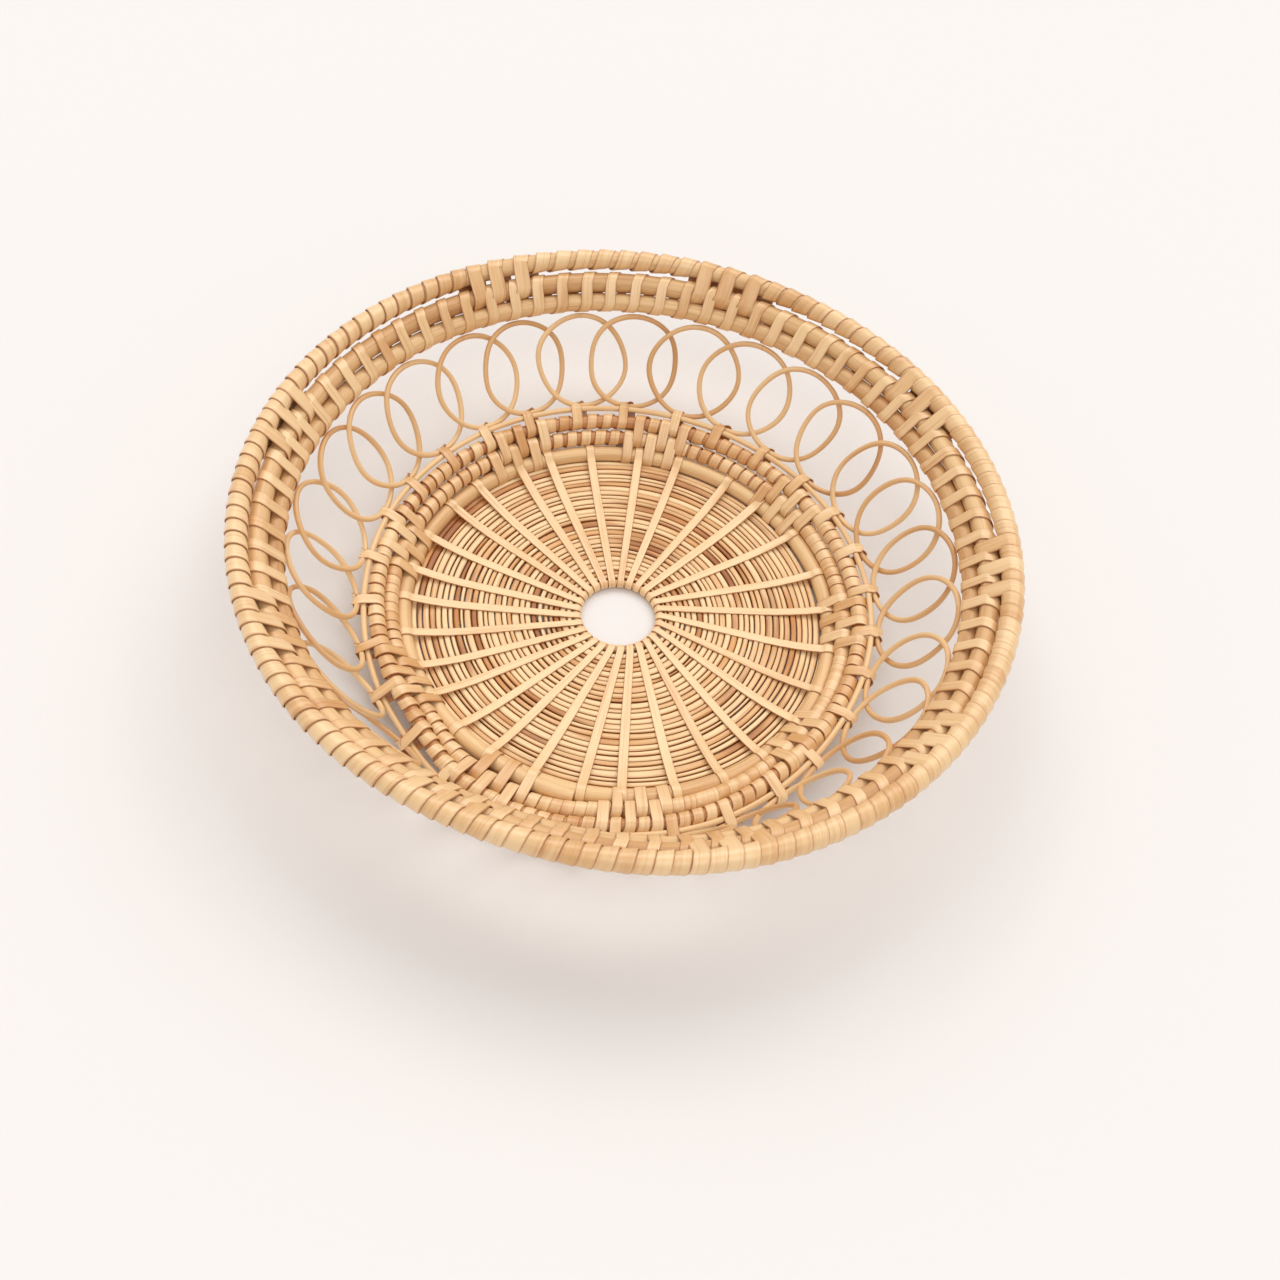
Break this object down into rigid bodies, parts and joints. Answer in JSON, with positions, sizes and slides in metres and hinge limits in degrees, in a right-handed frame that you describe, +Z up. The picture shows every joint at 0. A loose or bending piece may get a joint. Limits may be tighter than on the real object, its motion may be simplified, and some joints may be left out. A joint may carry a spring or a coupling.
{
  "type": "openwork rattan basket",
  "caption": "Round rattan basket with a coiled, lashed floor, an openwork wall of overlapping reed loops and a heavy cane-wrapped rim.",
  "frame": {"origin": "on the basket's axis, at the height of the surface it stands on", "axes": "+Z up along the basket's round axis; X and Y lie in the floor, all round alike"},
  "size_m": [0.28, 0.28, 0.0603],
  "materials": {
    "peeled_rod": "satin",
    "cane_strip": "satin",
    "round_reed": "satin",
    "floor_reed": "satin"
  },
  "bodies": {
    "root": {"border_inner_rod": "peeled_rod", "border_middle_rod": "peeled_rod", "border_middle_wrapping": "cane_strip", "border_outer_reed": "round_reed", "border_outer_rod": "peeled_rod", "border_outer_wrapping": "cane_strip", "floor_coil_1": "floor_reed", "floor_coil_2": "floor_reed", "floor_coil_3": "floor_reed", "floor_coil_4": "floor_reed", "floor_coil_5": "floor_reed", "floor_coil_6": "floor_reed", "floor_lashing_1": "cane_strip", "floor_lashing_2": "cane_strip", "floor_lashing_3": "cane_strip", "floor_lashing_4": "cane_strip", "floor_lashing_5": "cane_strip", "floor_lashing_6": "cane_strip", "floor_lashing_7": "cane_strip", "floor_lashing_8": "cane_strip", "hub_ring": "round_reed", "rim_binding": "cane_strip", "rim_inner_hoop": "peeled_rod", "rim_middle_hoop": "peeled_rod", "rim_outer_hoop": "peeled_rod", "rim_outer_wrapping": "cane_strip", "wall_loop_01": "round_reed", "wall_loop_02": "round_reed", "wall_loop_03": "round_reed", "wall_loop_04": "round_reed", "wall_loop_05": "round_reed", "wall_loop_06": "round_reed", "wall_loop_07": "round_reed", "wall_loop_08": "round_reed", "wall_loop_09": "round_reed", "wall_loop_10": "round_reed", "wall_loop_11": "round_reed", "wall_loop_12": "round_reed", "wall_loop_13": "round_reed", "wall_loop_14": "round_reed", "wall_loop_15": "round_reed", "wall_loop_16": "round_reed", "wall_loop_17": "round_reed", "wall_loop_18": "round_reed", "wall_loop_19": "round_reed", "wall_loop_20": "round_reed", "wall_loop_21": "round_reed", "wall_loop_22": "round_reed", "wall_loop_23": "round_reed", "wall_loop_24": "round_reed", "wall_loop_25": "round_reed", "wall_loop_26": "round_reed", "wall_loop_27": "round_reed", "wall_loop_28": "round_reed", "wall_loop_29": "round_reed", "wall_loop_30": "round_reed"}
  },
  "joints": []
}
